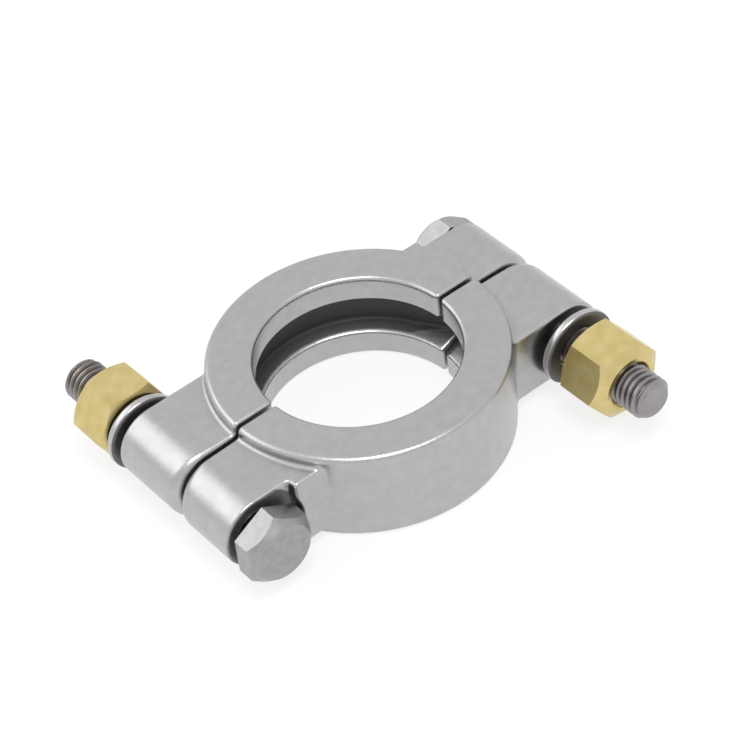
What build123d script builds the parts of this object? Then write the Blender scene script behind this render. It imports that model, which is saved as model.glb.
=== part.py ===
from build123d import *
import os
from math import radians, tan

"""Two-bolt sanitary clamp for a 1-1/2 in ferrule pair, millimetres.

The ring axis is +Z and the ring's lower face is z = 0. The bolts run along Y,
one at each side of the ring. The front half is on the -Y side, and the rear
half is the same casting turned half a turn about Z.
"""

# Ring
ring_outer_diameter = 65.0
ring_height = 22.2
ring_edge_radius = 1.0
split_gap = 1.0
ring_split_radius = 0.5

# Bore, lips and the groove that takes the two flanges
lip_bore_diameter = 44.4
flange_pocket_diameter = 51.6
lip_opening = 10.0
flank_angle = 20.0
bore_edge_radius = 0.8

# Ears
bolt_spacing = 82.0
ear_height = 17.1
nut_ear_length = 19.9
head_ear_length = 16.8
ear_split_radius = 1.2
ear_end_radius = 0.6
step_radius = 0.8
bolt_hole_diameter = 11.0

# Pad beside the bolt head, which stops the bolt from turning
pad_reach = 3.0
pad_corner_radius = 0.8
head_pad_clearance = 0.3
spot_face_diameter = 19.0

# Bolts
bolt_diameter = 9.8
bolt_sag = 0.4
bolt_reach = 46.6
bolt_tip_chamfer = 1.0
head_across_flats = 16.0
head_height = 6.4
head_gap = 0.8

# Nuts
nut_across_flats = 17.0
nut_height = 12.5
nut_bore_clearance = 0.2
nut_bore_chamfer = 0.5
left_nut_gap = 5.5
right_nut_gap = 6.9
left_nut_turn = 2.0
right_nut_turn = 8.0

# Hexagon ends: the chamfer's angle and the flat end's share of the width across flats
hex_chamfer_angle = 30.0
hex_end_share = 0.95

# Spring washers
washer_outer_diameter = 18.1
washer_thickness = 2.2
washer_bore_clearance = 0.25
washer_rise = 1.4
washer_split_angle = 12.0
washer_split_at = 60.0
washer_ear_gap = 1.2

# Worked out from the sizes above
ring_radius = ring_outer_diameter / 2
bore_radius = lip_bore_diameter / 2
pocket_radius = flange_pocket_diameter / 2
mid_height = ring_height / 2
bolt_x = bolt_spacing / 2
bolt_z = mid_height - bolt_sag
bolt_radius = bolt_diameter / 2
ear_radius = ear_height / 2
pad_face_x = bolt_x - head_across_flats / 2 - head_pad_clearance
overrun = 5.0
half_turn = Rot(0, 0, 180)


def bore_cutter():
    """The bore with its rounded rims and the tapered groove, turned about Z."""
    half_opening = lip_opening / 2
    half_pocket = half_opening - (pocket_radius - bore_radius) * tan(radians(flank_angle))
    rim_radius = bore_radius + bore_edge_radius
    rim_height = mid_height - bore_edge_radius
    outline = [
        Polyline((0, mid_height + overrun), (rim_radius, mid_height + overrun), (rim_radius, mid_height)),
        TangentArc((rim_radius, mid_height), (bore_radius, rim_height), tangent=(-1, 0)),
        Polyline(
            (bore_radius, rim_height),
            (bore_radius, half_opening),
            (pocket_radius, half_pocket),
            (pocket_radius, -half_pocket),
            (bore_radius, -half_opening),
            (bore_radius, -rim_height),
        ),
        TangentArc((rim_radius, -mid_height), (bore_radius, -rim_height), tangent=(-1, 0)),
        Polyline((rim_radius, -mid_height), (rim_radius, -mid_height - overrun), (0, -mid_height - overrun)),
        Line((0, -mid_height - overrun), (0, mid_height + overrun)),
    ]
    section = make_face(outline)
    return Pos(0, 0, mid_height) * revolve(Plane.XZ * section, Axis.Z)


def ear(side, length):
    """An ear from inside the ring's wall to its half-round end about the bolt."""
    profile = Pos(side * bolt_x, mid_height) * Circle(ear_radius)
    profile += Pos(side * bolt_x / 2, mid_height) * Rectangle(bolt_x, ear_height)
    block = extrude(Plane.XZ.offset(split_gap / 2) * profile, length - split_gap / 2)
    block = fillet(outer_rim(block, -split_gap / 2), ear_split_radius)
    return fillet(outer_rim(block, -length), ear_end_radius)


def outer_rim(block, y):
    """The edges of a block's end face at y, without the one on the ring's axis."""
    edges = block.edges().filter_by_position(Axis.Y, y - 0.001, y + 0.001)
    return edges.filter_by(lambda edge: abs((edge @ 0.5).X) > 1)


def pad():
    """The boss between the head-side ear and the ring, with a flat beside the bolt head."""
    start = -head_ear_length / 2
    end = -head_ear_length - pad_reach
    corner = Pos(-pad_face_x / 2, (start + end) / 2) * Rectangle(pad_face_x, start - end)
    outer_corner = corner.vertices().sort_by(Axis.X)[:2].sort_by(Axis.Y)[0]
    corner = fillet(outer_corner, pad_corner_radius)
    base = mid_height - ear_height / 2
    return extrude(Plane.XY.offset(base) * corner, ear_height)


def ring_half():
    """Half the ring's outer form, its outer rims and its split faces' edges rounded."""
    ring = Pos(0, 0, mid_height) * Cylinder(ring_radius, ring_height)
    ring = fillet(ring.edges().filter_by(GeomType.CIRCLE), ring_edge_radius)
    half_space = Pos(0, -split_gap / 2 - ring_outer_diameter / 2, mid_height) * Box(
        2 * ring_outer_diameter, ring_outer_diameter, ring_height + overrun
    )
    half = ring & half_space
    split_face = half.faces().sort_by(Axis.Y)[-1]
    return fillet(split_face.edges(), ring_split_radius)


def step_fillets():
    """The concave fillets where the ring's wall rises from the ears' and the pad's flat faces."""
    foot = ear_height / 2
    rise = foot + step_radius
    wall = ring_radius - ring_edge_radius
    section = make_face([
        Line((ring_radius, rise), (wall, rise)),
        Line((wall, rise), (wall, foot - ring_edge_radius)),
        Line((wall, foot - ring_edge_radius), (ring_radius + step_radius, foot - ring_edge_radius)),
        Line((ring_radius + step_radius, foot - ring_edge_radius), (ring_radius + step_radius, foot)),
        TangentArc((ring_radius, rise), (ring_radius + step_radius, foot), tangent=(0, -1)),
    ])
    upper = revolve(Plane.XZ * section, Axis.Z)
    start = split_gap / 2 + ear_split_radius
    end = min(head_ear_length + pad_reach, nut_ear_length) - ear_end_radius
    footprint = Pos(0, -(start + end) / 2, 0) * Box(2 * bolt_spacing, end - start, 2 * ring_height)
    upper &= footprint
    return [Pos(0, 0, mid_height) * upper, Pos(0, 0, mid_height) * Rot(0, 180, 0) * upper]


def clamp_half():
    """The front casting: half a ring, the head's ear at -X and the nut's ear at +X."""
    body = ring_half() + ear(-1, head_ear_length) + ear(1, nut_ear_length) + pad()
    for strip in step_fillets():
        body += strip
    body -= bore_cutter()
    for side in (-1, 1):
        body -= Pos(side * bolt_x, 0, mid_height) * Rot(90, 0, 0) * Cylinder(
            bolt_hole_diameter / 2, 2 * ring_outer_diameter
        )
    spot_depth = 2 * pad_reach
    spot_y = -head_ear_length - spot_depth / 2
    body -= Pos(-bolt_x, spot_y, mid_height) * Rot(90, 0, 0) * Cylinder(spot_face_diameter / 2, spot_depth)
    return body


def hexagon(across_flats, height, turn, chamfered_ends):
    """A hexagon prism from z = 0 to height, its ends cut by a cone."""
    prism = extrude(Rot(0, 0, turn) * RegularPolygon(across_flats / 2, 6, major_radius=False), height)
    end_radius = hex_end_share * across_flats / 2
    wide_radius = across_flats
    fall = (wide_radius - end_radius) * tan(radians(hex_chamfer_angle))
    for end in chamfered_ends:
        z = height if end == "top" else 0
        away = 1 if end == "top" else -1
        cone = make_face(Polyline(
            (end_radius, z), (wide_radius, z - away * fall), (wide_radius, z + away * overrun),
            (end_radius, z + away * overrun), close=True,
        ))
        prism -= revolve(Plane.XZ * cone, Axis.Z)
    return prism


def bolt():
    """A hexagon bolt on Z, its head's bearing face at z = 0 and its shank upward."""
    length = bolt_reach + head_ear_length + head_gap
    head = Rot(180, 0, 0) * hexagon(head_across_flats, head_height, 30, ["top"])
    shank = Pos(0, 0, length / 2) * Cylinder(bolt_radius, length)
    tip = shank.edges().filter_by(GeomType.CIRCLE).sort_by(Axis.Z)[-1]
    return head + chamfer(tip, bolt_tip_chamfer)


def nut(turn):
    """A long hexagon nut on Z with its washer side at z = 0."""
    body = hexagon(nut_across_flats, nut_height, turn, ["top", "bottom"])
    hole = Pos(0, 0, nut_height / 2) * Cylinder(bolt_radius + nut_bore_clearance, nut_height)
    body -= hole
    rims = body.edges().filter_by(GeomType.CIRCLE).filter_by(lambda edge: edge.radius < nut_across_flats / 3)
    return chamfer(rims, nut_bore_chamfer)


def spring_washer():
    """A split ring on Z wound as a left-hand helix, its middle at z = 0."""
    inner = bolt_radius + washer_bore_clearance
    outer = washer_outer_diameter / 2
    middle = (inner + outer) / 2
    share = 1 - washer_split_angle / 360
    path = Helix(washer_rise / share, washer_rise, middle, lefthand=True)
    path = Pos(0, 0, -washer_rise / 2) * path
    section = Plane(path @ 0, x_dir=(1, 0, 0), z_dir=path % 0) * Rectangle(outer - inner, washer_thickness)
    ring = sweep(section, path, is_frenet=True)
    return Rot(0, 0, washer_split_at) * ring


def on_left_bolt(y):
    """The place on the left bolt's axis at y, with local Z along the bolt to its tip."""
    return Plane((-bolt_x, y, bolt_z), x_dir=(1, 0, 0), z_dir=(0, 1, 0))


front_half = clamp_half()
left_bolt = on_left_bolt(-head_ear_length - head_gap) * bolt()
washer_y = nut_ear_length + washer_ear_gap + (washer_thickness + washer_rise) / 2
left_washer = on_left_bolt(washer_y) * spring_washer()
left_nut = on_left_bolt(nut_ear_length + left_nut_gap) * nut(left_nut_turn)
right_nut = half_turn * (on_left_bolt(nut_ear_length + right_nut_gap) * nut(right_nut_turn))

nodes = {
    "front_half": front_half,
    "rear_half": half_turn * front_half,
    "left_bolt": left_bolt,
    "right_bolt": half_turn * left_bolt,
    "left_spring_washer": left_washer,
    "right_spring_washer": half_turn * left_washer,
    "left_nut": left_nut,
    "right_nut": right_nut,
}

os.makedirs("parts", exist_ok=True)
for name, shape in nodes.items():
    export_step(shape, f"parts/{name}.step")
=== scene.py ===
import math

import bmesh
import bpy
import numpy as np
from mathutils import Matrix, Vector


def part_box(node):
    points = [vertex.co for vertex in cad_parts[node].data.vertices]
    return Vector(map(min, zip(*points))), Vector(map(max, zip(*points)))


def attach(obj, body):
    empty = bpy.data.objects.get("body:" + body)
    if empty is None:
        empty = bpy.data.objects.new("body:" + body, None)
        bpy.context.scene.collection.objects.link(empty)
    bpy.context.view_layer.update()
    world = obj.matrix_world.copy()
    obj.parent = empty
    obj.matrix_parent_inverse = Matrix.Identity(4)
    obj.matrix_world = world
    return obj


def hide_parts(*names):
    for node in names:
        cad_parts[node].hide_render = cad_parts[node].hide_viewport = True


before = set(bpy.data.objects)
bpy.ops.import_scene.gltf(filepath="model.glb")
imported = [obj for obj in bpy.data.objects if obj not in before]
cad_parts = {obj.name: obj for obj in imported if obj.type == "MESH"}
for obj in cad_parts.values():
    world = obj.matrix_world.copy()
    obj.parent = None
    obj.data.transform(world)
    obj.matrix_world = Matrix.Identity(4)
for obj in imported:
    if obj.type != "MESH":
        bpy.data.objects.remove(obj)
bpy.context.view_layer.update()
mm = 0.001
print("frame loaded")


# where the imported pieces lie, in mm

def nodeBox(node):
    low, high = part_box(node)
    return np.array(low) / mm, np.array(high) / mm


halfLow, halfHigh = nodeBox("front_half")
boltLow, boltHigh = nodeBox("left_bolt")
boltX = -(boltLow[0] + boltHigh[0]) / 2
boltZ = (boltLow[2] + boltHigh[2]) / 2
ringRadius = -halfLow[1]
midHeight = halfHigh[2] / 2


# materials

def srgb(code):
    channels = [int(code[i:i + 2], 16) / 255 for i in (1, 3, 5)]
    return [c / 12.92 if c <= 0.04045 else ((c + 0.055) / 1.055) ** 2.4 for c in channels] + [1]


def addNode(tree, kind, settings=None, links=None):
    # settings go to the sockets of that name, or else to the node itself
    node = tree.nodes.new(kind)
    for key, value in (settings or {}).items():
        if key in node.inputs:
            node.inputs[key].default_value = value
        else:
            setattr(node, key, value)
    for key, source in (links or {}).items():
        tree.links.new(source, node.inputs[key])
    return node


def newMaterial(name):
    material = bpy.data.materials.new(name)
    material.use_nodes = True
    tree = material.node_tree
    tree.nodes.clear()
    return material, tree


# what all the metals share. The painted shade of a recess is at its darkest where less than darkOpenness
# of what it looks out on is free, and gone above clearOpenness
metal = {
    "patchDetail": 3.0,
    "grainDetail": 4.0,
    "openSamples": 8,
    "darkOpenness": 0.35,
    "clearOpenness": 0.8,
}


def metalFinish(name, finish):
    # a metal with two tones in soft patches, and a grain in its gloss and its surface.
    # sizes in mm; the real grain is finer and is drawn as coarse as it needs to show
    material, tree = newMaterial(name)
    place = addNode(tree, "ShaderNodeTexCoord").outputs["Object"]
    patches = addNode(tree, "ShaderNodeTexNoise", {
        "Scale": 1 / (finish["patchSize"] * mm), "Detail": metal["patchDetail"],
    }, {"Vector": place})
    grain = addNode(tree, "ShaderNodeTexNoise", {
        "Scale": 1 / (finish["grainSize"] * mm), "Detail": metal["grainDetail"],
    }, {"Vector": place})
    tone = addNode(tree, "ShaderNodeMix", {
        "data_type": "RGBA", "A": srgb(finish["dark"]), "B": srgb(finish["light"]),
    }, {"Factor": patches.outputs["Fac"]}).outputs["Result"]
    sheen = addNode(tree, "ShaderNodeMapRange", {
        "To Min": finish["roughness"] - finish["roughnessSpread"],
        "To Max": finish["roughness"] + finish["roughnessSpread"],
    }, {"Value": grain.outputs["Fac"]}).outputs["Result"]
    bump = addNode(tree, "ShaderNodeBump", {
        "Strength": finish["grainStrength"], "Distance": finish["grainDepth"] * mm,
    }, {"Height": grain.outputs["Fac"]})
    if "recessShade" in finish:
        # painted shade: the tone is darkened towards the shade colour where the piece's own occlusion is
        # high
        outlook = addNode(tree, "ShaderNodeAmbientOcclusion", {
            "only_local": True,
            "samples": metal["openSamples"],
            "Distance": finish["recessReach"] * mm,
        })
        openness = addNode(tree, "ShaderNodeMapRange", {
            "From Min": metal["darkOpenness"], "From Max": metal["clearOpenness"],
        }, {"Value": outlook.outputs["AO"]})
        tone = addNode(tree, "ShaderNodeMix", {
            "data_type": "RGBA", "A": srgb(finish["recessShade"]),
        }, {"Factor": openness.outputs["Result"], "B": tone}).outputs["Result"]
    if "paintedShadeTone" in finish:
        # painted shade in the marked places: the tone goes to the given shade colour there, and the
        # roughness rises
        marks = addNode(tree, "ShaderNodeAttribute", {"attribute_name": "shadeAndDullness"})
        shadeAndDullness = marks.outputs["Fac"]
        tone = addNode(tree, "ShaderNodeMix", {
            "data_type": "RGBA", "B": srgb(finish["paintedShadeTone"]),
        }, {"Factor": shadeAndDullness, "A": tone}).outputs["Result"]
        sheen = addNode(tree, "ShaderNodeMix", {
            "B": finish["shadedZoneRoughness"],
        }, {"Factor": shadeAndDullness, "A": sheen}).outputs["Result"]
    shader = addNode(tree, "ShaderNodeBsdfPrincipled", {"Metallic": 1.0}, {
        "Base Color": tone, "Roughness": sheen, "Normal": bump.outputs["Normal"],
    })
    addNode(tree, "ShaderNodeOutputMaterial", None, {"Surface": shader.outputs["BSDF"]})
    return material


# investment-cast stainless, tumbled: an even grey satin with a faint orange peel, with painted shade in
# its recesses, and painted shade with a duller finish in the groove and on the spot face
castStainless = metalFinish("castStainlessTumbled", {
    "dark": "#acacad", "light": "#c0c0c1", "patchSize": 2.5, "grainSize": 0.6,
    "grainDepth": 0.04, "grainStrength": 0.5, "roughness": 0.31, "roughnessSpread": 0.08,
    "recessShade": "#646464", "recessReach": 4.0, "paintedShadeTone": "#5a5a5b", "shadedZoneRoughness": 0.62,
})

# cold-headed stainless bolt head: neutral grey with a slight mottle
headStainless = metalFinish("boltHeadStainlessForged", {
    "dark": "#929292", "light": "#b4b4b4", "patchSize": 2.0, "grainSize": 0.4,
    "grainDepth": 0.03, "grainStrength": 0.4, "roughness": 0.36, "roughnessSpread": 0.08,
})

# rolled thread: duller than the head and a little violet, with painted shade in its grooves
threadStainless = metalFinish("boltThreadStainlessRolled", {
    "dark": "#8c888a", "light": "#aba7a9", "patchSize": 4.0, "grainSize": 0.35,
    "grainDepth": 0.03, "grainStrength": 0.4, "roughness": 0.34, "roughnessSpread": 0.08,
    "recessShade": "#343133", "recessReach": 1.2,
})

# spring steel strip: a bright rolled rim
washerStainless = metalFinish("washerStainlessBright", {
    "dark": "#b0b0b0", "light": "#cacaca", "patchSize": 5.0, "grainSize": 0.4,
    "grainDepth": 0.01, "grainStrength": 0.3, "roughness": 0.3, "roughnessSpread": 0.05,
})

# the same strip's sides, with painted shade for the narrow shaded gaps beside them
washerSidesShaded = metalFinish("washerStainlessPaintedShade", {
    "dark": "#62605e", "light": "#7c7a77", "patchSize": 5.0, "grainSize": 0.4,
    "grainDepth": 0.02, "grainStrength": 0.3, "roughness": 0.5, "roughnessSpread": 0.05,
})

# free-cutting brass, milled flats and a turned chamfer: pale gold with a green-brown mottle
nutBrass = metalFinish("nutBrassMilled", {
    "dark": "#c2ac66", "light": "#e6d6a0", "patchSize": 3.0, "grainSize": 0.4,
    "grainDepth": 0.02, "grainStrength": 0.3, "roughness": 0.33, "roughnessSpread": 0.07,
})
print("materials made")


# pieces

weldGap = 1e-4   # mm between points that are one point


def makePiece(name, points, faces, finishes, body, node, sharpAngle=30, shadeAndDullness=None):
    # finishes: pairs of a material and its faces; the first one has the faces left over
    mesh = bpy.data.meshes.new(name)
    mesh.from_pydata((np.asarray(points) * mm).tolist(), [], faces)
    if shadeAndDullness is not None:
        mesh.attributes.new("shadeAndDullness", "FLOAT", "POINT").data.foreach_set("value", shadeAndDullness)
    for number, (material, chosen) in enumerate(finishes):
        mesh.materials.append(material)
        if number:
            mesh.polygons.foreach_set("material_index", np.where(chosen, number, 0))
    shape = bmesh.new()
    shape.from_mesh(mesh)
    bmesh.ops.remove_doubles(shape, verts=shape.verts, dist=weldGap * mm)
    bmesh.ops.recalc_face_normals(shape, faces=shape.faces)
    shape.to_mesh(mesh)
    shape.free()
    mesh.shade_smooth()
    mesh.set_sharp_from_angle(angle=math.radians(sharpAngle))
    piece = bpy.data.objects.new(name, mesh)
    bpy.context.scene.collection.objects.link(piece)
    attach(piece, body)
    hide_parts(node)
    return piece


def faceMiddles(points, faces):
    return np.array([points[list(face)].mean(0) for face in faces])


def halfTurn(points):
    # the same piece turned half a turn about the ring's axis
    return np.asarray(points) * [-1, -1, 1]


# castings: the ring, ears and pad as distances in mm, joined and cut with rounded edges

casting = {
    "ringEdge": 1.2,
    "splitEdge": 0.7,
    "boreRadius": 22.2,
    "boreEdge": 1.0,
    "pocketRadius": 25.8,
    "pocketRelief": 2.2,
    "reliefLength": 10.0,
    "lipOpening": 10.0,
    "flankAngle": 20.0,
    "grooveCorner": 0.3,
    "lipCorner": 0.35,
    "earRadius": 8.55,
    "nutEarLength": 19.9,
    "headEarLength": 17.5,
    "earSplitEdge": 1.2,
    "earSplitEdgeOutside": 2.8,
    "earEndEdge": 0.6,
    "stepFillet": 0.8,
    "padFace": 32.7,
    "padReach": 19.8,
    "padCorner": 0.8,
    "padFillet": 0.5,
    "spotRadius": 9.5,
    "spotEdge": 0.3,
    "holeRadius": 5.5,
    "holeEdge": 0.4,
    "waveHeight": 0.012,
    "waveLength": 7.0,
    "waves": [(1.0, 0.4, 0.0, 0.0), (0.0, 0.8, -0.5, 0.0), (0.3, 0.0, 0.9, 1.0)],
    # painted shade in the groove and on the spot face: the lit band kept by the lower lip, its growth
    # towards the split, the blend, and how far past the pocket it goes
    "litLipBand": 0.5,
    "litLipGrowth": 6.0,
    "shadeBlend": 0.35,
    "shadePastPocket": 3.0,
    "sharpAngle": 60,
}


def joined(a, b, radius):
    # the union of two forms with a concave fillet
    fillet = np.hypot(np.maximum(radius - a, 0), np.maximum(radius - b, 0))
    return np.maximum(radius, np.minimum(a, b)) - fillet


def shared(a, b, radius):
    # what is inside both forms, with a rounded edge
    return -joined(-a, -b, radius)


def castingDistance(x, y, z):
    # the front half: how far a place lies outside it, below 0 inside
    c = casting
    side = np.abs(x)
    front = -y
    height = np.abs(z - midHeight)
    radius = np.hypot(x, y)
    ring = shared(radius - ringRadius, height - midHeight, c["ringEdge"])

    across = np.where(side > boltX, np.hypot(side - boltX, height), height) - c["earRadius"]
    reach = front - np.where(x < 0, c["headEarLength"], c["nutEarLength"])
    pad = shared(-x - c["padFace"], front - c["padReach"], c["padCorner"])
    ears = shared(across, joined(reach, np.maximum(pad, x), c["padFillet"]), c["earEndEdge"])
    spotFace = np.hypot(x + boltX, z - midHeight) - c["spotRadius"]
    spotFace = np.maximum(spotFace, c["headEarLength"] - front)
    ears = shared(ears, -spotFace, c["spotEdge"])

    body = joined(ring, ears, c["stepFillet"])
    places = [ringRadius, boltX, boltX + c["earRadius"]]
    edges = [c["splitEdge"], c["earSplitEdge"], c["earSplitEdgeOutside"]]
    body = shared(body, -halfHigh[1] - front, np.interp(side, places, edges))

    slope = math.radians(c["flankAngle"])
    flank = height - c["lipOpening"] / 2 + (radius - c["boreRadius"]) * math.tan(slope)
    relief = c["pocketRelief"] * np.maximum(1 - front / c["reliefLength"], 0)
    groove = shared(radius - c["pocketRadius"] - relief, flank * math.cos(slope), c["grooveCorner"])
    bore = joined(radius - c["boreRadius"], groove, c["lipCorner"])
    body = shared(body, -bore, c["boreEdge"])
    hole = np.hypot(side - boltX, z - midHeight) - c["holeRadius"]
    body = shared(body, -hole, c["holeEdge"])

    # faint waves inwards: crossing sines, each with its parts of x, y and z and its shift
    perLength = 2 * math.pi / c["waveLength"]
    wave = 1
    for partX, partY, partZ, shift in c["waves"]:
        wave = wave * np.sin(perLength * (partX * x + partY * y + partZ * z) + shift)
    return body + c["waveHeight"] * (1 + wave)


# the mesh of the castings: its cells and its room round them in mm
net = {
    "step": 0.42,
    "margin": 1.0,
    "slopeStep": 0.01,
    "leastSlope": 0.1,
    "draws": 4,
}


def netMesh(distance, low, high):
    # one point in each cell that the surface crosses, then drawn onto the surface
    step = net["step"]
    counts = np.ceil((high - low) / step).astype(int) + 1
    axes = [low[i] + step * np.arange(counts[i]) for i in range(3)]
    values = distance(*np.meshgrid(*axes, indexing="ij"))
    sums = np.zeros((*counts, 3))
    hits = np.zeros(counts)
    crossings = []
    for axis in range(3):
        first = np.take(values, range(counts[axis] - 1), axis)
        second = np.take(values, range(1, counts[axis]), axis)
        cells = np.argwhere((first < 0) != (second < 0))
        a = first[tuple(cells.T)]
        b = second[tuple(cells.T)]
        spots = low + cells * step
        spots[:, axis] += step * a / (a - b)
        u, v = (axis + 1) % 3, (axis + 2) % 3
        corners = []
        for du, dv in ((1, 1), (0, 1), (0, 0), (1, 0)):
            cell = cells.copy()
            cell[:, u] -= du
            cell[:, v] -= dv
            corners.append(cell)
            np.add.at(sums, tuple(cell.T), spots)
            np.add.at(hits, tuple(cell.T), 1)
        crossings.append((corners, a < 0))
    used = hits > 0
    points = sums[used] / hits[used][:, None]
    number = np.full(counts, -1)
    number[used] = np.arange(len(points))
    faces = []
    for corners, outward in crossings:
        quads = np.stack([number[tuple(cell.T)] for cell in corners], 1)
        faces.append(np.where(outward[:, None], quads, quads[:, ::-1]))
    small = step * net["slopeStep"]
    for _ in range(net["draws"]):
        here = distance(*points.T)
        rises = [distance(*(points + small * way).T) - here for way in np.eye(3)]
        slope = np.stack(rises, 1) / small
        share = here / np.maximum((slope ** 2).sum(1), net["leastSlope"])
        points = points - slope * share[:, None]
    return points, np.concatenate(faces)


def castingShadeAndDullness(points):
    # where painted shade and a duller finish go: 1 in the groove and on the spot face, 0 elsewhere, with
    # a short blend between them
    c = casting
    blend = c["shadeBlend"]
    x, y, z = points.T
    rise = z - midHeight
    radius = np.hypot(x, y)
    slope = math.tan(math.radians(c["flankAngle"]))
    lowerFlank = -c["lipOpening"] / 2 + (c["pocketRadius"] - c["boreRadius"]) * slope
    # the lower flank keeps a lit band free of painted shade by the lip, wider towards the split where
    # light reaches it
    litBand = c["litLipBand"] + c["litLipGrowth"] * np.maximum(1 + y / c["reliefLength"], 0)
    depth = radius - c["boreRadius"] - np.where(rise > lowerFlank + blend, blend, litBand)
    groove = np.minimum(depth, c["lipOpening"] / 2 + blend - np.abs(rise))
    groove = np.minimum(groove, -c["splitEdge"] - y)
    groove = np.minimum(groove, c["pocketRadius"] + c["shadePastPocket"] - radius)
    spot = c["spotRadius"] + blend - np.hypot(x + boltX, rise)
    spot = np.minimum(spot, -c["headEarLength"] + blend - y)
    return np.clip(np.maximum(groove, spot) / blend, 0, 1)


castPoints, castFaces = netMesh(castingDistance, halfLow - net["margin"], halfHigh + net["margin"])
castFaces = castFaces.tolist()
stainless = ((castStainless, None),)
look = {"sharpAngle": casting["sharpAngle"], "shadeAndDullness": castingShadeAndDullness(castPoints)}
makePiece("frontHalfCasting", castPoints, castFaces, stainless, "front", "front_half", **look)
makePiece("rearHalfCasting", halfTurn(castPoints), castFaces, stainless, "rear", "rear_half", **look)
print("castings made", len(castFaces))


# bolts and nuts: skins of rows about the bolt's axis, wound along one right-hand thread

columns = 60
thread = {
    "pitch": 1.5,
    "crestRadius": 4.9,
    "depth": 0.81,
    "nutClearance": 0.08,
    "runOut": 0.7,
    "spareTurns": 2,
}
# a turn's profile: (part of the pitch, part of the depth)
threadTurn = [(-1 / 16, 0.0), (1 / 16, 0.0), (6 / 16, 0.94), (8 / 16, 1.0), (10 / 16, 0.94)]


def onBolt(rows):
    # rows of (angle, radius, distance along the left bolt) to points
    angle, radius, along = np.moveaxis(np.asarray(rows), -1, 0)
    spots = np.stack([radius * np.cos(angle) - boltX, along, boltZ - radius * np.sin(angle)], -1)
    return spots.reshape(-1, 3)


def rowFaces(rowCount, shift=0):
    # quads between rows, the last column joined to the first one, shift rows further
    faces = []
    for row in range(rowCount - 1 - shift):
        for column in range(columns):
            turn, after = divmod(column + 1, columns)
            here = row * columns + column
            beside = (row + shift * turn) * columns + after
            faces.append((here, beside, beside + columns, here + columns))
    return faces


def columnAngles(turn=0.0):
    return math.radians(turn) + 2 * math.pi * np.arange(columns) / columns


def plainRows(turn, profile):
    # each row is a circle or hexagon: (radius or array of radii, distance along the bolt)
    angles = columnAngles(turn)
    return np.array([np.stack([angles, r + 0 * angles, y + 0 * angles], -1) for r, y in profile])


def hexRadii(acrossFlats):
    part = np.radians((np.arange(columns) * 360 / columns) % 60 - 30)
    return acrossFlats / 2 / np.cos(part)


def threadRows(turn, start, end, extraRadius, limit):
    # the wound rows, laid past both ends and then held between start and end;
    # limit trims the radius towards the ends
    angles = columnAngles(turn)
    perTurn = len(threadTurn)
    rows = []
    turns = int((end - start) / thread["pitch"]) + 2 * thread["spareTurns"]
    for number in range(turns * perTurn):
        part, depth = threadTurn[number % perTurn]
        wound = number // perTurn - thread["spareTurns"] + part + angles / (2 * math.pi)
        along = np.clip(start + wound * thread["pitch"], start, end)
        radius = thread["crestRadius"] + extraRadius - depth * thread["depth"]
        rows.append(np.stack([angles, limit(radius, along), along], -1))
    return np.array(rows), perTurn


def gather(parts):
    points, faces = [], []
    for spots, quads in parts:
        faces += [tuple(i + sum(map(len, points)) for i in quad) for quad in quads]
        points.append(spots)
    return np.concatenate(points), faces


bolt = {
    "acrossFlats": 15.0,
    "leftSeat": -19.3,
    "rightSeat": -18.0,
    "headHeight": 6.2,
    "leftTurn": 30.0,
    "rightTurn": 30.0,
    "chamferShare": 0.84,
    "chamferAngle": 44.0,
    "faceShare": 0.8,
    "faceEdge": 0.3,
    "faceEdgeFall": 0.12,
    "seatBand": 1.0,
    "threadStart": 4.0,
    "tipRadius": 3.7,
    "tipDish": 0.1,
}


def boltSkin(seat, turn):
    b = bolt
    end = seat - b["headHeight"]
    tip = boltHigh[1]
    flats = hexRadii(b["acrossFlats"])
    faceRadius = b["chamferShare"] * b["acrossFlats"] / 2
    fall = (flats - faceRadius) * math.tan(math.radians(b["chamferAngle"]))
    head = plainRows(turn, [
        (0.0, end),
        (faceRadius * b["faceShare"], end),
        (faceRadius + b["faceEdge"], end + b["faceEdgeFall"]),
        (flats, end + fall),
        (flats, seat - b["seatBand"]),
        (flats, seat),
        (thread["crestRadius"], seat),
        (thread["crestRadius"], b["threadStart"]),
    ])

    def outerLimit(radius, along):
        runOut = thread["crestRadius"] - (along - b["threadStart"]) * thread["runOut"]
        chamfer = b["tipRadius"] + (tip - along)
        return np.minimum(np.maximum(radius, runOut), chamfer)

    wound, shift = threadRows(turn, b["threadStart"], tip, 0.0, outerLimit)
    dish = b["tipDish"]
    point = plainRows(turn, [
        (b["tipRadius"], tip), (b["tipRadius"] / 2, tip - dish / 2), (0.0, tip - dish),
    ])
    return gather([
        (onBolt(head), rowFaces(len(head))),
        (onBolt(wound), rowFaces(len(wound), shift)),
        (onBolt(point), rowFaces(len(point))),
    ])


nut = {
    "acrossFlats": 17.0,
    "washerEndShare": 0.93,
    "outerEndShare": 0.78,
    "washerEndAngle": 30.0,
    "outerEndAngle": 40.0,
    "sinkRadius": 5.6,
    "leftTurn": 2.0,
    "rightTurn": 8.0,
    "edge": 0.2,
    "edgeSteps": 2,
    "edgeAngle": 25,
}


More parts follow.
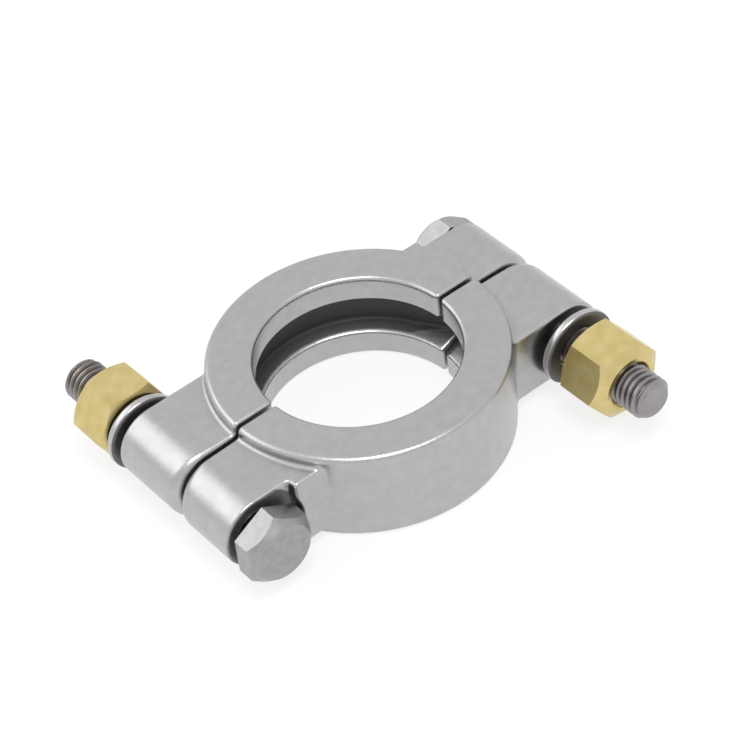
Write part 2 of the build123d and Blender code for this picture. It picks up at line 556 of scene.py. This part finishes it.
def nutSkin(node, turn):
    n = nut
    low, high = nodeBox(node)
    near, far = sorted((abs(low[1]), abs(high[1])))
    flats = hexRadii(n["acrossFlats"])
    nearSlope = math.tan(math.radians(n["washerEndAngle"]))
    farSlope = math.tan(math.radians(n["outerEndAngle"]))
    nearRadius = n["washerEndShare"] * n["acrossFlats"] / 2
    farRadius = n["outerEndShare"] * n["acrossFlats"] / 2
    outside = plainRows(turn, [
        (n["sinkRadius"], near),
        (nearRadius, near),
        (flats, near + (flats - nearRadius) * nearSlope),
        (flats, (near + far) / 2),
        (flats, far - (flats - farRadius) * farSlope),
        (farRadius, far),
        (n["sinkRadius"], far),
    ])

    def innerLimit(radius, along):
        sink = n["sinkRadius"] - np.minimum(along - near, far - along)
        return np.maximum(radius, sink)

    wound, shift = threadRows(turn, near, far, thread["nutClearance"], innerLimit)
    return gather([
        (onBolt(outside), rowFaces(len(outside))),
        (onBolt(wound), rowFaces(len(wound), shift)),
    ])


def softenEdges(piece):
    bevel = piece.modifiers.new("edges", "BEVEL")
    bevel.width = nut["edge"] * mm
    bevel.segments = nut["edgeSteps"]
    bevel.limit_method = "ANGLE"
    bevel.angle_limit = math.radians(nut["edgeAngle"])
    bevel.harden_normals = True


leftPoints, boltFaces = boltSkin(bolt["leftSeat"], bolt["leftTurn"])
rightPoints, boltFaces = boltSkin(bolt["rightSeat"], bolt["rightTurn"])
isThread = faceMiddles(leftPoints, boltFaces)[:, 1] > bolt["leftSeat"]
boltFinishes = ((headStainless, None), (threadStainless, isThread))
makePiece("leftBoltThreaded", leftPoints, boltFaces, boltFinishes, "front", "left_bolt")
makePiece("rightBoltThreaded", halfTurn(rightPoints), boltFaces, boltFinishes, "rear", "right_bolt")
brass = ((nutBrass, None),)
leftPoints, nutFaces = nutSkin("left_nut", nut["leftTurn"])
rightPoints, nutFaces = nutSkin("right_nut", nut["rightTurn"])
leftNut = makePiece("leftNutBrass", leftPoints, nutFaces, brass, "left_nut", "left_nut")
rightNut = makePiece("rightNutBrass", halfTurn(rightPoints), nutFaces, brass, "right_nut", "right_nut")
for piece in (leftNut, rightNut):
    softenEdges(piece)
print("bolts and nuts made")


# spring washers: a split ring of rectangular strip, wound by a left-hand helix

washer = {
    "innerRadius": 5.15,
    "thickness": 2.2,
    "corner": 0.75,
    "cornerFacets": 3,
    "brightFacets": 1,
    "splitAngle": 12.0,
    "splitAt": 60.0,
    "steps": 90,
    "sharpAngle": 40,
}


def washerSkin():
    # the strip's points and faces, and which faces are not on its bright rim
    w = washer
    low, high = nodeBox("left_spring_washer")
    outerRadius = (high[0] - low[0]) / 2
    rise = high[1] - low[1] - w["thickness"]
    middle = (low[1] + high[1]) / 2
    halfWide = (outerRadius - w["innerRadius"]) / 2 - w["corner"]
    halfThick = w["thickness"] / 2 - w["corner"]
    section = []
    for quarter, (signR, signY) in enumerate([(1, 1), (-1, 1), (-1, -1), (1, -1)]):
        for part in range(w["cornerFacets"] + 1):
            angle = math.pi / 2 * (quarter + part / w["cornerFacets"])
            r = signR * halfWide + w["corner"] * math.cos(angle)
            y = signY * halfThick + w["corner"] * math.sin(angle)
            section.append((r, y))
    strip = []
    for step in range(w["steps"] + 1):
        part = step / w["steps"]
        angle = math.radians(w["splitAt"] + part * (360 - w["splitAngle"]))
        shift = middle + rise * (0.5 - part)
        for r, y in section:
            strip.append((angle, r + (outerRadius + w["innerRadius"]) / 2, y + shift))
    size = len(section)
    faces = [tuple(range(size))[::-1], tuple(range(w["steps"] * size, (w["steps"] + 1) * size))]
    shadedSides = [False, False]
    for step in range(w["steps"]):
        for k in range(size):
            here, beside = step * size + k, step * size + (k + 1) % size
            faces.append((here, beside, beside + size, here + size))
            shadedSides.append(w["brightFacets"] <= k < size - 1 - w["brightFacets"])
    return onBolt(strip), faces, shadedSides


washerPoints, washerFaces, shadedSides = washerSkin()
otherPoints = halfTurn(washerPoints)
finishes = ((washerStainless, None), (washerSidesShaded, shadedSides))
sharp = washer["sharpAngle"]
makePiece("leftSpringWasher", washerPoints, washerFaces, finishes, "rear", "left_spring_washer", sharp)
makePiece("rightSpringWasher", otherPoints, washerFaces, finishes, "front", "right_spring_washer", sharp)
print("washers made")


# floor, light and camera, in metres, watts and degrees

studio = {
    "floorSize": 6.0,
    "floorColour": "#f2f2f2",
    "floorGlow": 0.8,
    "worldStrength": 0.9,
    "lampTarget": (0, 0, 0.01),
}
softboxes = {
    "leftBackSoftbox": {"place": (-0.55, 0.75, 0.75), "size": (1.2, 0.8), "watts": 3.4},
    "overheadSoftbox": {"place": (-0.1, -0.3, 1.1), "size": (0.5, 0.5), "watts": 6.0},
}
view = {
    "azimuth": -34.309,
    "elevation": 43.827,
    "roll": -7.473,
    "distance": 0.588,
    "target": (0.00449, 0.00123, 0.01078),
    "lens": 132.34,
    "sensorWidth": 36,
    "nearest": 0.01,
}


def makeFloor():
    bpy.ops.mesh.primitive_plane_add(size=studio["floorSize"], location=(0, 0, 0))
    floor = bpy.context.object
    floor.name = "studioFloor"
    material, tree = newMaterial("floorPaintPale")
    paint = addNode(tree, "ShaderNodeBsdfDiffuse", {"Color": srgb(studio["floorColour"])})
    glow = addNode(tree, "ShaderNodeEmission", {"Color": (1, 1, 1, 1), "Strength": 1.0})
    # the glow is there for what is seen, and not for what lights the clamp
    rays = addNode(tree, "ShaderNodeLightPath").outputs
    seen = rays["Is Camera Ray"]
    for kind in ("Is Glossy Ray", "Is Transmission Ray"):
        either = addNode(tree, "ShaderNodeMath", {"operation": "MAXIMUM"}, {0: seen, 1: rays[kind]})
        seen = either.outputs["Value"]
    part = addNode(tree, "ShaderNodeMapRange", {"To Max": studio["floorGlow"]}, {"Value": seen})
    mix = addNode(tree, "ShaderNodeMixShader", None, {
        "Fac": part.outputs["Result"], 1: paint.outputs["BSDF"], 2: glow.outputs["Emission"],
    })
    addNode(tree, "ShaderNodeOutputMaterial", None, {"Surface": mix.outputs["Shader"]})
    floor.data.materials.append(material)


def makeSoftbox(name, box):
    lamp = bpy.data.lights.new(name, "AREA")
    lamp.shape = "RECTANGLE"
    lamp.size, lamp.size_y = box["size"]
    lamp.energy = box["watts"]
    holder = bpy.data.objects.new(name, lamp)
    holder.location = box["place"]
    aim = Vector(studio["lampTarget"]) - Vector(box["place"])
    holder.rotation_euler = aim.to_track_quat("-Z", "Y").to_euler()
    bpy.context.scene.collection.objects.link(holder)


def makeCamera():
    azimuth, elevation, roll = (math.radians(view[key]) for key in ("azimuth", "elevation", "roll"))
    back = Vector((
        math.cos(elevation) * math.sin(azimuth),
        -math.cos(elevation) * math.cos(azimuth),
        math.sin(elevation),
    ))
    level = (-back).cross(Vector((0, 0, 1))).normalized()
    upright = level.cross(-back)
    right = math.cos(roll) * level + math.sin(roll) * upright
    up = math.cos(roll) * upright - math.sin(roll) * level
    lens = bpy.data.cameras.new("studioCamera")
    lens.lens = view["lens"]
    lens.sensor_width = view["sensorWidth"]
    lens.clip_start = view["nearest"]
    camera = bpy.data.objects.new("studioCamera", lens)
    turn = Matrix((right, up, back)).transposed().to_4x4()
    place = Vector(view["target"]) + back * view["distance"]
    camera.matrix_world = Matrix.Translation(place) @ turn
    bpy.context.scene.collection.objects.link(camera)
    bpy.context.scene.camera = camera


def makeWorld():
    world = bpy.data.worlds.new("studioWorld")
    world.use_nodes = True
    sky = world.node_tree.nodes["Background"]
    sky.inputs["Color"].default_value = (1, 1, 1, 1)
    sky.inputs["Strength"].default_value = studio["worldStrength"]
    bpy.context.scene.world = world


makeFloor()
for name, box in softboxes.items():
    makeSoftbox(name, box)
makeCamera()
makeWorld()
bpy.context.scene.view_settings.view_transform = "Standard"
print("studio made")
